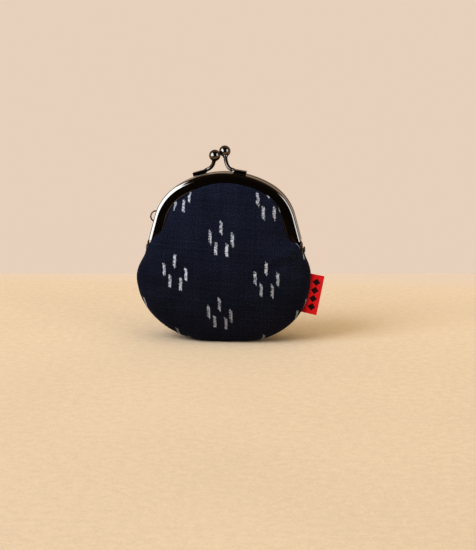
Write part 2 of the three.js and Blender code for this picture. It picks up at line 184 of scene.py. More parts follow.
def oval(centre, radii, start, end, count):
    """Points of an axis-aligned ellipse's arc, angles in degrees."""
    return np.asarray(centre) + arc((0, 0), 1.0, start, end, count) * radii


def bumpy(u, waves):
    """Sum of sines: each wave is (amplitude, cycles per unit, phase)."""
    return sum(a * np.sin(2 * np.pi * f * u + p) for a, f, p in waves)


def unit(vectors):
    """Vectors along the last axis, each divided by its length."""
    return vectors / np.linalg.norm(vectors, axis=-1, keepdims=True)


def distance_along(points):
    """Distance of each point of a line from its first point, along the line."""
    return np.concatenate([[0], np.cumsum(np.linalg.norm(np.diff(points, axis=0), axis=1))])


def grid_quads(rows, columns, wrap):
    """Four corners of each cell of a grid of points, closed round the columns if wrap is true."""
    index = np.arange(rows * columns).reshape(rows, columns)
    if wrap:
        index = np.concatenate([index, index[:, :1]], 1)
    corners = index[:-1, :-1], index[:-1, 1:], index[1:, 1:], index[1:, :-1]
    return np.stack(corners, -1).reshape(-1, 4).tolist()


def signed_volume(points, faces):
    """Six times the volume under fans of the faces: its sign tells which way they look."""
    total = 0.0
    for size in set(map(len, faces)):
        p = points[np.array([face for face in faces if len(face) == size])]
        total += np.einsum("fi,fki->", p[:, 0], np.cross(p[:, 1:-1], p[:, 2:]))
    return total


def make_object(name, points, faces, material, sharp=40, uv=None):
    """A smooth-shaded mesh object from points in millimetres; uv holds a pair for each point."""
    mesh = bpy.data.meshes.new(name)
    mesh.from_pydata((np.asarray(points) * MM).tolist(), [], faces)
    if uv is not None:
        corner = np.empty(len(mesh.loops), np.int32)
        mesh.loops.foreach_get("vertex_index", corner)
        layer = mesh.uv_layers.new(name="cloth_mm")
        layer.data.foreach_set("uv", np.asarray(uv, np.float32)[corner].ravel())
    mesh.polygons.foreach_set("use_smooth", np.ones(len(mesh.polygons), bool))
    mesh.set_sharp_from_angle(angle=np.radians(sharp))
    mesh.materials.append(material)
    mesh.validate()
    made = bpy.data.objects.new(name, mesh)
    bpy.context.scene.collection.objects.link(made)
    return made


def tube_parts(rings, start=None, end=None):
    """Points and faces of a tube through rings of points.

    Each end closes to the point given, or with one flat face."""
    rows, columns = rings.shape[:2]
    points = rings.reshape(-1, 3)
    faces = grid_quads(rows, columns, True)
    ring = np.arange(columns)
    for tip, around in ((start, ring[::-1]), (end, (rows - 1) * columns + ring)):
        if tip is None:
            faces.append(around[::-1].tolist())
            continue
        top = np.full(columns, len(points))
        points = np.vstack([points, tip])
        faces += np.stack([np.roll(around, -1), around, top], 1).tolist()
    return points, faces


def joined(*parts):
    """Several closed shells as one list of points and faces, each turned to face out."""
    points, faces, offset = [], [], 0
    for p, f in parts:
        turn = -1 if signed_volume(p, f) < 0 else 1
        faces += [[i + offset for i in face[::turn]] for face in f]
        points.append(p)
        offset += len(p)
    return np.vstack(points), faces


# Materials


class Value:
    """One number in a shader: plain operators on it add math nodes."""

    def __init__(self, nodes, socket):
        self.nodes, self.socket = nodes, socket

    def math(self, operation, other=0.0):
        return Value(self.nodes, self.nodes.add("Math", (self, other), operation=operation)[0])

    def __add__(self, other):
        return self.math("ADD", other)

    def __sub__(self, other):
        return self.math("SUBTRACT", other)

    def __mul__(self, other):
        return self.math("MULTIPLY", other)

    def __truediv__(self, other):
        return self.math("DIVIDE", other)

    def __mod__(self, other):
        return self.math("MODULO", other)

    def __abs__(self):
        return self.math("ABSOLUTE")

    def cell(self, size, start=0.0):
        """Number of the cell of that size in which the value lies, counted from start."""
        return (self / size + start).math("FLOOR")

    def random(self):
        """A random number from 0 to 1 for each value."""
        made = self.nodes.add("TexWhiteNoise", {"W": self}, noise_dimensions="1D")
        return Value(self.nodes, made["Value"])

    def ramp(self, low, high, start=0.0, end=1.0):
        """The value mapped smoothly from low..high to start..end."""
        keys = ("Value", "From Min", "From Max", "To Min", "To Max")
        inputs = dict(zip(keys, (self, low, high, start, end)))
        made = self.nodes.add("MapRange", inputs, interpolation_type="SMOOTHSTEP")
        return Value(self.nodes, made[0])


class Nodes:
    """Short names for adding and linking the nodes of a material or a world."""

    def __init__(self, owner):
        self.owner = owner
        owner.use_nodes = True
        self.tree = owner.node_tree
        self.shader = self.tree.nodes.get("Principled BSDF")

    def add(self, kind, inputs=(), **settings):
        """Outputs of a new node; its inputs are given by name, or in order."""
        node = self.tree.nodes.new("ShaderNode" + kind)
        for key, value in settings.items():
            setattr(node, key, value)
        self.fill(node, inputs if isinstance(inputs, dict) else dict(enumerate(inputs)))
        return node.outputs

    def fill(self, node, inputs):
        """Links each Value or socket to its input, and sets the others as constants."""
        for key, source in inputs.items():
            source = source.socket if isinstance(source, Value) else source
            if isinstance(source, bpy.types.NodeSocket):
                self.tree.links.new(source, node.inputs[key])
            else:
                node.inputs[key].default_value = source

    def set(self, inputs):
        """Inputs of the material's shader, by name."""
        self.fill(self.shader, inputs)

    def noise(self, vector, scale, detail=3.0):
        made = self.add("TexNoise", {"Vector": vector, "Scale": scale, "Detail": detail})
        return Value(self, made["Fac"])

    def blend(self, share, a, b):
        """Colour a where share is 0 and colour b where it is 1."""
        a, b = (c if isinstance(c, bpy.types.NodeSocket) else (*c, 1.0) for c in (a, b))
        return self.add("Mix", {"Factor": share, 6: a, 7: b}, data_type="RGBA")[2]

    def scaled(self, tint, share):
        """A colour times a number."""
        return self.add("VectorMath", {0: tint, "Scale": share}, operation="SCALE")[0]

    def bump(self, height, strength, distance):
        inputs = {"Strength": strength, "Distance": distance, "Height": height}
        self.set({"Normal": self.add("Bump", inputs)["Normal"]})

    def split(self, vector):
        """The three numbers of a vector."""
        return [Value(self, number) for number in self.add("SeparateXYZ", (vector,))]

    def object_place(self):
        return self.add("TexCoord")["Object"]

    def cloth_place(self, turn=0.0, shift=(0.0, 0.0)):
        """The two cloth coordinates in millimetres, turned by degrees and shifted."""
        place = self.add("UVMap", uv_map="cloth_mm")["UV"]
        inputs = {"Vector": place, "Rotation": (0, 0, np.radians(turn)), "Location": (*shift, 0)}
        vector = self.add("Mapping", inputs)["Vector"]
        return vector, *self.split(vector)[:2]

    def background(self, tint, strength):
        return self.add("Background", ((*tint, 1), strength))[0]


def weave(u, v, pitch):
    """Plain weave: height of crossing threads as sin(u) sin(v), and a random shade for each."""
    over = (u * (np.pi / pitch)).math("SINE") * (v * (np.pi / pitch)).math("SINE")
    shade = (u.cell(pitch).random() + v.cell(pitch, FAR_START).random()) * 0.5
    return over * 0.5 + 0.5, shade


# Cloth pattern: a half-drop repeat in millimetres, and the five dashes of a group round its middle
COLUMN_STEP = 23.0
ROW_STEP = 38.5
PATTERN_TURN = 4.0  # degrees
PATTERN_SHIFT = (3.5, -15.1)
PATTERN_LEAN = 0.05
LEAN_LEVEL = 27.0  # height at which the lean leaves a column in place
BACK_SHIFT = (6.0, 9.0)
DASHES = ((-0.25, 6.0), (-5.65, 1.4), (5.55, 0.75), (-2.6, -3.9), (2.95, -4.25))
DASH_SLANT = -0.015
DASH_STEP = 0.45
DASH_SLIP = 1.5  # range of a dash's random shift along its threads
THREAD_SLIP = 1.3  # range of one thread's shift in a dash
PICK_SWAY = 0.5  # range of a crossing thread's shift
FAR_START = 1000.0  # keeps warp and weft from drawing the same random numbers
PICK_START = 500.0

# Lozenges of the tag in millimetres: spacing, middle out of the seam, half width and half height
LOZENGE_STEP = 4.3
LOZENGE_MIDDLE = 3.3
LOZENGE_HALF = (2.15, 2.05)
LOZENGE_END = (8.6, 8.7)  # the column stops between these distances from its middle


def indigo_cloth(colours, cloth):
    """Dark plain weave with groups of five pale dashes in a half-drop repeat.

    Each dash is a box |du - slant dv| < width / 2, |dv + step du| < length / 2: its threads step
    down one after the other, and each is pushed up or down by a random amount, as threads dyed
    before weaving lie."""
    nodes = Nodes(bpy.data.materials.new("indigo_cloth"))
    vector, u, v = nodes.cloth_place(PATTERN_TURN, PATTERN_SHIFT)
    u = u + (v * PATTERN_LEAN - PATTERN_LEAN * LEAN_LEVEL)
    column = u.cell(COLUMN_STEP, 0.5)
    du = u - column * COLUMN_STEP
    dropped = (column + 100.0) % 2.0 * (ROW_STEP / 2) + v
    row = dropped.cell(ROW_STEP, 0.5)
    dv = dropped - row * ROW_STEP
    thread = u.cell(cloth.thread).random()
    pick = v.cell(cloth.thread, PICK_START).random()
    ragged = thread * THREAD_SLIP - THREAD_SLIP / 2
    sway = pick * PICK_SWAY - PICK_SWAY / 2
    group = column * 7.0 + row * 13.0
    half_width, half_length = cloth.dash_width / 2, cloth.dash_length / 2
    dashes = None
    for number, (x, z) in enumerate(DASHES):
        slip = (group + (0.37 * number + 0.1)).random()
        rise = dv - (slip * DASH_SLIP + (z - DASH_SLIP / 2))
        side = du - x - rise * DASH_SLANT
        across = abs(side + sway).ramp(half_width - 0.15, half_width + 0.15, 1.0, 0.0)
        along = abs(side * DASH_STEP + rise + ragged)
        inside = across * along.ramp(half_length - 0.45, half_length + 0.3, 1.0, 0.0)
        dashes = dashes.math("MAXIMUM", inside) if dashes else inside
    height, shade = weave(u, v, cloth.thread)
    lines = (pick * 0.85 + 0.4) * (thread * 0.7 + 0.6)
    lines = lines * nodes.noise(vector, 1.15, 1.0).ramp(0.36, 0.56, 0.3, 1.15)
    # Painted shade: the pale dashes are painted darker towards the bottom and the right of the
    # panel.
    tone_and_painted_shade = (v - u * 0.3).ramp(-8.0, 28.0, 0.52, 1.0)
    pale = (dashes * lines).math("MINIMUM", 1.0) * tone_and_painted_shade
    patchy = nodes.noise(vector, 0.06, 4.0).ramp(0.25, 0.75, 0.82, 1.2)
    grainy = nodes.noise(vector, 1.6, 1.0).ramp(0.25, 0.75, 0.42, 1.58)
    threads = shade.ramp(0.0, 1.0, 0.78, 1.22) * height.ramp(0.0, 1.0, 0.75, 1.15)
    # Painted shade: the ground is painted darker and less blue towards the bottom of the panel.
    darker = [c * k for c, k in zip(colours.indigo, (0.72, 0.62, 0.52))]
    ground = nodes.blend(v.ramp(-15.0, 50.0), darker, colours.indigo)
    ground = nodes.scaled(ground, patchy * threads * grainy)
    nodes.set(
        {
            "Base Color": nodes.blend(pale, ground, colours.dash),
            "Roughness": 0.88,
            "Specular IOR Level": 0.0,
            "Sheen Weight": 0.05,
            "Sheen Roughness": 0.4,
            "Sheen Tint": (0.55, 0.62, 1.0, 1.0),
        }
    )
    nodes.bump(height + pale * 0.4, 0.6, 0.00012)
    return nodes.owner


def lining_cotton(colours):
    """Undyed plain weave with a little colour variation between threads."""
    nodes = Nodes(bpy.data.materials.new("lining_cotton"))
    vector, u, v = nodes.cloth_place()
    height, shade = weave(u, v, 0.4)
    tone = shade.ramp(0.0, 1.0, 0.82, 1.1) * nodes.noise(vector, 0.08).ramp(0.2, 0.8, 0.9, 1.08)
    ground = nodes.scaled(colours.lining, tone)
    nodes.set({"Base Color": ground, "Roughness": 0.92, "Specular IOR Level": 0.0})
    nodes.bump(height, 0.5, 0.0001)
    return nodes.owner


def dark_nickel(colours, name, shade):
    """Polished dark plate with faint wipe marks in its roughness and colour; shade dims it."""
    nodes = Nodes(bpy.data.materials.new(name))
    plate = [c * shade for c in colours.metal]
    place = nodes.object_place()
    marks = nodes.noise(place, 420.0, 5.0)
    cloud = nodes.noise(place, 60.0, 2.0)
    nodes.set(
        {
            "Base Color": nodes.blend(cloud.ramp(0.3, 0.7), plate, [c * 0.8 for c in plate]),
            "Metallic": 1.0,
            "Roughness": marks.ramp(0.3, 0.75, 0.03, 0.07),
            "Specular Tint": (0.40, 0.36, 0.33, 1.0),
        }
    )
    nodes.bump(nodes.noise(place, 900.0, 2.0), 0.03, 0.00005)
    return nodes.owner


def red_ribbon(colours):
    """Ribbed woven ribbon with a column of lozenges |u| / a + |v| / b < 1 along its middle."""
    nodes = Nodes(bpy.data.materials.new("red_ribbon"))
    _, u, v = nodes.cloth_place()
    near = v - (v.cell(LOZENGE_STEP) + 0.5) * LOZENGE_STEP
    reach = abs(u - LOZENGE_MIDDLE) / LOZENGE_HALF[0] + abs(near) / LOZENGE_HALF[1]
    motif = reach.ramp(0.88, 1.02, 1.0, 0.0) * abs(v).ramp(*LOZENGE_END, 1.0, 0.0)
    height, shade = weave(u, v, 0.3)
    # Painted shade: the ribbon is painted darker where it comes out of the seam, times each
    # thread's own tone.
    tone_and_painted_shade = shade.ramp(0.0, 1.0, 0.85, 1.1) * u.ramp(-0.6, 2.0, 0.4, 1.0)
    woven = nodes.blend(motif, nodes.scaled(colours.ribbon, tone_and_painted_shade), colours.motif)
    nodes.set({"Base Color": woven, "Roughness": 0.6, "Specular IOR Level": 0.02})
    nodes.bump(height, 0.5, 0.00008)
    return nodes.owner


def kraft_paper(colours):
    """Twisted paper with fibres in its colour."""
    nodes = Nodes(bpy.data.materials.new("kraft_paper"))
    fibres = nodes.noise(nodes.object_place(), 900.0, 5.0)
    darker = [c * 0.7 for c in colours.paper]
    tint = nodes.blend(fibres.ramp(0.3, 0.7), colours.paper, darker)
    nodes.set({"Base Color": tint, "Roughness": 0.9})
    nodes.bump(fibres, 0.4, 0.0001)
    return nodes.owner


# Frame: angles in degrees and sizes in millimetres, as in the CAD frame

TOP_ANGLE = 31.0  # half of the bow's top arc
LEG_ANGLE = 75.0  # slope of its legs
INNER_HEIGHT = 5.0  # height of the wall beside the parting gap
EAR_RADIUS = 2.6
EAR_HALF = 0.35  # half of an ear's thickness
EAR_LAP = 1.6  # how far an ear goes up inside its leg
EAR_STEP = 0.65  # how far a front ear stands out past the leg's end
SHANK_RADIUS = 0.9
HEAD_RADIUS = 1.75
FOOT_PLACE = 10.0  # middle of a clasp foot from the middle of the clasp
FOOT_ENDS = (3.7, 3.3)  # the foot's outer and inner end from its middle
FOOT_HALF = (2.1, 0.95)  # half of the foot's width and height
FOOT_LIFT = 1.1  # the foot's middle above the bow
WIRE_LIFT = 0.5  # the wire's middle above the foot's
WIRE_START = (6.7, 7.5)  # the foot turns to wire between these distances from its end
BALL_TURN = np.radians(36.0)  # the line through both balls: its turn seen from above
BALL_TILT = np.radians(17.4)  # and its slope
LOOP_PLACE = 10.9  # the strap loop's middle from the end of the leg
LOOP_HALF = 2.7
LOOP_REACH = 2.9
CORD_RADIUS = 0.78
CORD_INSET = 3.2
CORD_TWIST = 1.6


def bow_layout(s):
    """Centres and lengths of the bow's arcs and legs, all from the frame's sizes."""
    top, leg = np.radians(TOP_ANGLE), np.radians(LEG_ANGLE)
    top_z = s.hinge_height + s.bow_rise - s.top_radius
    offset = s.top_radius - s.corner_radius
    corner = (offset * np.sin(top), top_z + offset * np.cos(top))
    end_z = s.hinge_height + s.end_rise
    leg_length = (corner[1] + s.corner_radius * np.cos(leg) - end_z) / np.sin(leg)
    end_x = corner[0] + s.corner_radius * np.sin(leg) + leg_length * np.cos(leg)
    return SimpleNamespace(top_z=top_z, corner=corner, leg=leg_length, end_x=end_x, end_z=end_z)


def bow_line(s, inset, trim, count):
    """The bow's outer line moved inwards by inset: leg, corner arc, top arc, corner arc and leg.

    Returns its points from the left end to the right end, and the direction inwards at each."""
    lay = bow_layout(s)
    top, leg = np.radians(TOP_ANGLE), np.radians(LEG_ANGLE)
    r1, r2 = s.top_radius - inset, s.corner_radius - inset
    l1, l2 = r1 * top, r2 * (leg - top)
    half = l1 + l2 + lay.leg - trim
    t = np.linspace(-half, half, count)
    side, u = np.sign(t), np.abs(t)
    on_top = u < l1
    angle = np.where(on_top, u / r1, top + np.clip(u - l1, 0, l2) / r2)
    down = np.clip(u - l1 - l2, 0, None)
    radius = np.where(on_top, r1, r2)
    x = np.where(on_top, 0, lay.corner[0]) + radius * np.sin(angle) + down * np.cos(leg)
    z = np.where(on_top, lay.top_z, lay.corner[1]) + radius * np.cos(angle)
    zero = np.zeros(count)
    points = np.stack([side * x, zero, z - down * np.sin(leg)], 1)
    return points, np.stack([-side * np.sin(angle), zero, -np.cos(angle)], 1)


def channel_section(s):
    """Section of a bow as (depth from the parting plane, inwards), with rolled edges."""
    wall, high, deep, lip = s.wall, s.shoulder, s.shoulder_depth, s.wall / 2
    near = s.parting_gap / 2
    far = near + s.half_depth
    face, outer, inner, brace = s.face_height, 0.7, 0.2, 0.1
    return np.vstack(
        [
            arc((near + lip, INNER_HEIGHT - lip), lip, 90, 180, 5),
            arc((near + outer, outer), outer, 180, 270, 7),
            oval((far - deep, high), (deep, high), 270, 360, 22),
            [(far, high + brace), (far, face - lip - brace)],
            arc((far - lip, face - lip), lip, 0, 180, 9),
            oval((far - deep, high), (deep - wall, high - wall), 360, 270, 12),
            arc((near + wall + inner, wall + inner), inner, 270, 180, 4),
            arc((near + lip, INNER_HEIGHT - lip), lip, 0, 90, 5)[:-1],
        ]
    )


def superellipse(half_x, half_y, power, count):
    """Closed outline |x / half_x|^power + |y / half_y|^power = 1; halves may be arrays of rows."""
    a = np.linspace(0, 2 * np.pi, count, endpoint=False)
    c, d = np.cos(a), np.sin(a)
    rows = np.broadcast_arrays(*map(np.atleast_1d, (half_x, half_y, power)))
    half_x, half_y, power = (v[:, None] for v in rows)
    x = half_x * np.sign(c) * np.abs(c) ** (2 / power)
    return x, half_y * np.sign(d) * np.abs(d) ** (2 / power)


def ear_parts(s, side, front):
    """Ear of a bow: a rounded strip carried down from the leg to a round end about the rivet.

    The front ear steps out past the leg's end so that it laps over the back ear."""
    end_x, rise = bow_layout(s).end_x, s.end_rise
    top = rise + EAR_LAP
    bottom = -EAR_RADIUS * np.sin(np.linspace(0, np.pi / 2 - 0.04, 16))
    z = np.concatenate([np.linspace(top, 0, 26)[:-1], bottom])
    near_top = s.parting_gap / 2 + 0.3
    far_top = s.parting_gap / 2 + s.half_depth - s.shoulder_depth - 0.2
    round_end = np.sqrt(np.clip(EAR_RADIUS**2 - np.minimum(z, 0) ** 2, 0, None))
    low = np.where(z > 0, mix(-EAR_RADIUS, -far_top, np.clip(z / top, 0, 1)), -round_end)
    high = np.where(z > 0, mix(EAR_RADIUS, -near_top, smooth(0, rise - EAR_LAP, z)), round_end)
    x = end_x - EAR_HALF
    if front > 0:
        x = mix(end_x + EAR_STEP, x, smooth(3.0, rise + 0.6, z))
    x = x - np.clip(z - rise + 0.4, 0, None) / np.tan(np.radians(LEG_ANGLE))
    flat, across = superellipse(EAR_HALF, (high - low) / 2, 5.0, 32)
    rings = np.stack(
        [
            side * (x[:, None] + flat),
            front * ((high + low) / 2)[:, None] + across,
            np.broadcast_to((s.hinge_height + z)[:, None], flat.shape),
        ],
        -1,
    )
    return tube_parts(rings, end=rings[-1].mean(0) - [0, 0, 0.002])


def lathe(centre, aim, along, out, count):
    """Turns a profile about a line: along is the place on the line, out the distance from it.

    The first and the last point of the profile lie on the line."""
    level = unit(np.cross(aim, [1.0, 0, 0] if abs(aim[0]) < 0.99 else [0, 1.0, 0]))
    t = np.linspace(0, 2 * np.pi, count, endpoint=False)[None, :, None]
    ring = level * np.cos(t) + np.cross(aim, level) * np.sin(t)
    rings = centre + along[1:-1, None, None] * aim + out[1:-1, None, None] * ring
    return tube_parts(rings, centre + along[0] * aim, centre + along[-1] * aim)


def finish_piece(piece, body, node):
    """The piece moves with a CAD body and stands in for a CAD node, which it hides."""
    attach(piece, body)
    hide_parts(node)
    return piece


class PURSE_OT_bows(bpy.types.Operator):
    """Both pressed bows with their ears"""

    bl_idname = "purse.bows"
    bl_label = "Frame bows"

    def execute(self, context):
        s = sizes_mm(context.scene.purse_frame)
        metal = dark_nickel(context.scene.purse_colours, "dark_nickel", 1.0)
        section = channel_section(s)
        line, inwards = bow_line(s, 0.0, 0.0, 241)
        for half, front in HALVES:
            rings = line[:, None] + inwards[:, None] * section[None, :, 1:]
            rings[..., 1] -= front * section[None, :, 0]
            ears = (ear_parts(s, side, front) for side in (1, -1))
            bow = make_object(f"{half}_frame_bow", *joined(tube_parts(rings), *ears), metal)
            finish_piece(bow, f"{half}_half", f"{half}_bow")
        return {"FINISHED"}


class PURSE_OT_rivets(bpy.types.Operator):
    """Hinge rivets with a domed head outside and a flattened tail inside"""

    bl_idname = "purse.rivets"
    bl_label = "Hinge rivets"

    def execute(self, context):
        s = sizes_mm(context.scene.purse_frame)
        metal = dark_nickel(context.scene.purse_colours, "dull_nickel", 0.4)
        end = bow_layout(s).end_x
        tail, head = end - 1.0, end + 1.3
        dome = oval((head + 0.12, 0), (0.78, HEAD_RADIUS), 90, 0, 14)
        profile = np.vstack(
            [
                [(tail - 0.5, 0), (tail - 0.5, 1.3), (tail - 0.36, 1.45), (tail, 1.5)],
                [(tail + 0.02, SHANK_RADIUS), (head - 0.02, SHANK_RADIUS)],
                [(head, 1.68), (head + 0.06, HEAD_RADIUS)],
                dome,
            ]
        )
        for side, word in ((1, "right"), (-1, "left")):
            aim, centre = np.array([side, 0.0, 0.0]), np.array([0, 0, s.hinge_height])
            shape = joined(lathe(centre, aim, *profile.T, 48))
            rivet = make_object(f"rivet_{word}", *shape, metal)
            finish_piece(rivet, "back_half", f"hinge_rivet_{word}")
        return {"FINISHED"}


def bezier(p0, p1, p2, p3, count):
    """Points of a cubic curve with four control points."""
    t = np.linspace(0, 1, count)[:, None]
    return (1 - t) ** 3 * p0 + 3 * t * (1 - t) ** 2 * p1 + 3 * t**2 * (1 - t) * p2 + t**3 * p3


def block_section(half_x, half_y, to_round, corner=0.22, brace=0.1):
    """Outline of a block whose corners are small arcs with a point either side.

    It turns to an ellipse as to_round goes to 1."""
    t = np.linspace(0, 1, 12)
    quarter = np.arange(4)[:, None] * np.pi / 2
    turn = (quarter + np.clip((t - 0.12) / 0.76, 0, 1) * np.pi / 2).ravel()
    slide = np.tile(np.where(t == 0, -brace, np.where(t == 1, brace, 0.0)), 4)
    middle = (quarter + np.pi / 4 + 0 * t).ravel()
    even = (quarter + 0.06 + t * (np.pi / 2 - 0.12)).ravel()
    half_x, half_y, to_round = (v[:, None] for v in (half_x, half_y, to_round))
    x = np.sign(np.cos(middle)) * (half_x - corner) + corner * np.cos(turn) - slide * np.sin(turn)
    y = np.sign(np.sin(middle)) * (half_y - corner) + corner * np.sin(turn) + slide * np.cos(turn)
    return mix(x, half_x * np.cos(even), to_round), mix(y, half_y * np.sin(even), to_round)


def sweep(path, section):
    """Rings of a section carried along a path; its first axis stays level, along Y if it can."""
    tangent = unit(np.gradient(path, axis=0))
    level = unit(np.array([0.0, 1.0, 0.0]) - tangent * tangent[:, 1:2])
    up = np.cross(tangent, level)
    a, b = section
    return path[:, None] + a[..., None] * level[:, None] + b[..., None] * up[:, None]


def clasp_parts(s, turn):
    """One clasp arm and its ball's centre, drawn with the foot on the right and turned about Z.

    The arm is a block along the bow's top that steps to a round wire, bends up and crosses over."""
    heading = np.cos(turn)
    seat_x = s.clasp_offset + heading * FOOT_PLACE
    slope = np.arcsin(heading * seat_x / s.top_radius)
    seat_z = s.bow_rise - s.top_radius + np.sqrt(s.top_radius ** 2 - seat_x**2)
    up = np.array([np.sin(slope), 0, np.cos(slope)])
    inwards = np.array([-np.cos(slope), 0, np.sin(slope)])
    middle = s.parting_gap / 2 + s.half_depth / 2
    foot = np.array([FOOT_PLACE, -middle, seat_z]) + up * FOOT_LIFT
    line = unit(np.array([np.cos(BALL_TURN), np.sin(BALL_TURN), np.tan(BALL_TILT)]))
    line *= s.ball_radius + 0.15
    ball = np.array([line[0], line[1], s.bow_rise + s.ball_lift + heading * line[2]])
    start = foot + inwards * FOOT_ENDS[1] + up * WIRE_LIFT
    bend = start + inwards * (start[0] - ball[0]) * 0.74
    rise = ball[2] - start[2]
    neck_y = mix(ball[1], start[1], 0.45)
    neck = np.array([mix(ball[0], bend[0], 0.5), neck_y, ball[2] - rise / 2])
    aim = unit(ball - neck)
    tip = ball - aim * (s.ball_radius - 1.6)
    share = (np.linspace(0, 1, 40) ** 1.3)[:, None]
    strip = mix(foot - inwards * FOOT_ENDS[0], start - up * WIRE_LIFT, share)
    strip = strip + up * WIRE_LIFT * smooth(0.93, 1.0, share)
    path = np.vstack([strip[:-1], bezier(start, bend, neck, tip, 60)])
    gone = distance_along(path)
    chamfer = mix(0.9, 1.0, np.clip(gone / 0.14, 0, 1))
    to_wire = smooth(*WIRE_START, gone)
    half_width, half_height = (mix(v, s.arm_radius, to_wire) * chamfer for v in FOOT_HALF)
    rings = sweep(path, block_section(half_width, half_height, to_wire))
    points, faces = tube_parts(rings, path[0], path[-1] + 0.02 * aim)
    c = np.array([[heading, -np.sin(turn), 0], [np.sin(turn), heading, 0], [0, 0, 1]])
    place = np.array([s.clasp_offset, 0, s.hinge_height])
    return (points @ c.T + place, faces), ball @ c.T + place, aim @ c.T


def ball_parts(centre, aim, radius):
    """A ball with a short collar where its arm enters: a profile turned about the arm."""
    ball = arc((0, 0), radius, 0, 180, 49)
    end = -radius - 0.36
    collar = [(-radius * 0.93, 1.32), (end + 0.08, 1.28), (end, 1.18), (end, 0.5), (end, 0)]
    profile = np.vstack([ball[ball[:, 0] > -radius * 0.88], collar])
    return lathe(centre, aim, *profile.T, 64)


class PURSE_OT_clasp(bpy.types.Operator):
    """Kiss-lock: an arm and a ball on each half"""

    bl_idname = "purse.clasp"
    bl_label = "Kiss-lock"

    def execute(self, context):
        s = sizes_mm(context.scene.purse_frame)
        metal = dark_nickel(context.scene.purse_colours, "ball_nickel", 0.75)
        dull = bpy.data.materials["dull_nickel"]
        for half, turn in (("front", 0.0), ("back", np.pi)):
            arm, centre, aim = clasp_parts(s, turn)
            piece = make_object(f"{half}_clasp_strip", *joined(arm), dull)
            finish_piece(piece, f"{half}_half", f"{half}_clasp_arm")
            shape = joined(ball_parts(centre, aim, s.ball_radius))
            ball = make_object(f"{half}_clasp_bead", *shape, metal)
            finish_piece(ball, f"{half}_half", f"{half}_clasp_ball")
        return {"FINISHED"}


class PURSE_OT_strap_loop(bpy.types.Operator):
    """Wire half ring on the left leg of the back half"""

    bl_idname = "purse.strap_loop"
    bl_label = "Strap loop"

    def execute(self, context):
        s = sizes_mm(context.scene.purse_frame)
        line, inwards = bow_line(s, 0.0, 0.0, 1201)
        at = int(np.argmin(np.abs(distance_along(line) - LOOP_PLACE)))
        out = -inwards[at]
        along = np.array([out[2], 0, -out[0]])
        base = line[at] + np.array([0, s.parting_gap / 2 + s.half_depth / 2, 0])
        t = np.linspace(0, np.pi, 48)[:, None]
        path = base - along * LOOP_HALF * np.cos(t) + out * (LOOP_REACH * np.sin(t) ** 0.8 - 0.1)
        rings = sweep(path, superellipse(s.loop_wire, s.loop_wire, 2.0, 20))
        shape = joined(tube_parts(rings, path[0], path[-1]))
        loop = make_object("strap_ring", *shape, bpy.data.materials["dull_nickel"])
        finish_piece(loop, "back_half", "strap_loop")
        return {"FINISHED"}


class PURSE_OT_paper_cords(bpy.types.Operator):
    """Twisted paper cord packed into each channel"""

    bl_idname = "purse.paper_cords"
    bl_label = "Paper cords"

    def execute(self, context):
        s = sizes_mm(context.scene.purse_frame)
        paper = kraft_paper(context.scene.purse_colours)
        for half, front in HALVES:
            line, inwards = bow_line(s, CORD_INSET, 1.0, 420)
            line[:, 1] = -front * (s.parting_gap / 2 + s.wall + 1.1)
            gone = np.linspace(0, 110, len(line))[:, None]
            a = np.linspace(0, 2 * np.pi, 24, endpoint=False)[None]
            r = CORD_RADIUS * (1 - 0.16 * np.abs(np.sin(1.5 * (a - gone * CORD_TWIST))))
            rings = line[:, None] + (r * np.cos(a))[..., None] * inwards[:, None]
            rings[..., 1] += r * np.sin(a)
            shape = joined(tube_parts(rings))
            cord = make_object(f"{half}_twisted_paper", *shape, paper, 60)
            finish_piece(cord, f"{half}_half", f"{half}_paper_cord")
        return {"FINISHED"}


# Pouch: sizes in millimetres

# Soft creases of a panel: start and end as (x, z), half width and height
CREASES = (
    (-43.0, 37.5, -31.0, 34.5, 2.0, -0.6),
    (-42.0, 30.5, -27.0, 28.5, 2.8, 0.7),
    (-41.0, 24.0, -28.0, 22.5, 2.8, -0.5),
    (-38.5, 46.0, -24.0, 49.0, 2.2, 0.5),
    (-38.0, 43.0, -26.0, 42.0, 2.0, -0.6),
    (38.5, 45.5, 26.0, 46.0, 2.1, -0.5),
    (41.0, 37.0, 30.0, 36.0, 2.4, 0.5),
    (40.0, 41.5, 29.0, 40.0, 1.7, -0.4),
)

# Outline of each side: the superellipse's power below the widest height, the share by which it
# narrows above and that curve's power, and how far the cloth laps over the frame's inner edge,
# from a leg's end (0) up to the middle (1)
LEFT = SimpleNamespace(
    width="left_width",
    fullness=2.07,
    narrows=(0.112, 1.5),
    lap=((0.0, 3.2), (0.15, -0.6), (0.3, -1.8), (0.5, -2.0), (0.78, 0.4), (1.0, 0.9)),
)
RIGHT = SimpleNamespace(
    width="right_width",
    fullness=2.25,
    narrows=(0.085, 2),
    lap=((0.0, 0.7), (0.12, -0.8), (0.25, -0.5), (0.45, 1.2), (0.8, 0.9)),
)

# Layers: how far inside the outer cloth, depth of the rolled edge at the seam, whether the cloth
# swells over the frame's edge, and how much further it sits in the channel
OUTER = SimpleNamespace(inset=0.0, roll=1.5, puff=1.0, into_channel=0.0)
LINING = SimpleNamespace(inset=1.5, roll=1.2, puff=0.0, into_channel=1.25)

SEAM_TOP = 2.9  # the side seam ends this far below the rivet axis
SEAM_DEEP = (0.36, 0.34)  # turned and tucked edge from the middle plane, along the seam
TURNED, TUCKED = 0.6, 3.2  # the same edges in from the seam
PANEL_COLUMNS = 400
PLAN_POWERS = (2.5, 1.85)  # powers of the bulge seen from the front, at the bottom and the top
DEPTH_POWERS = (2.2, 1.55)  # and seen from the side
POLE_DROP = 1.0  # a panel's middle below its widest height
TAG_FOLD = 0.26  # radius of the tag's fold
TAG_ROOT = 1.7  # length of the tag inside the seam
SETTLE_CORNER = 0.7  # softness of the corner where the cloth meets the table


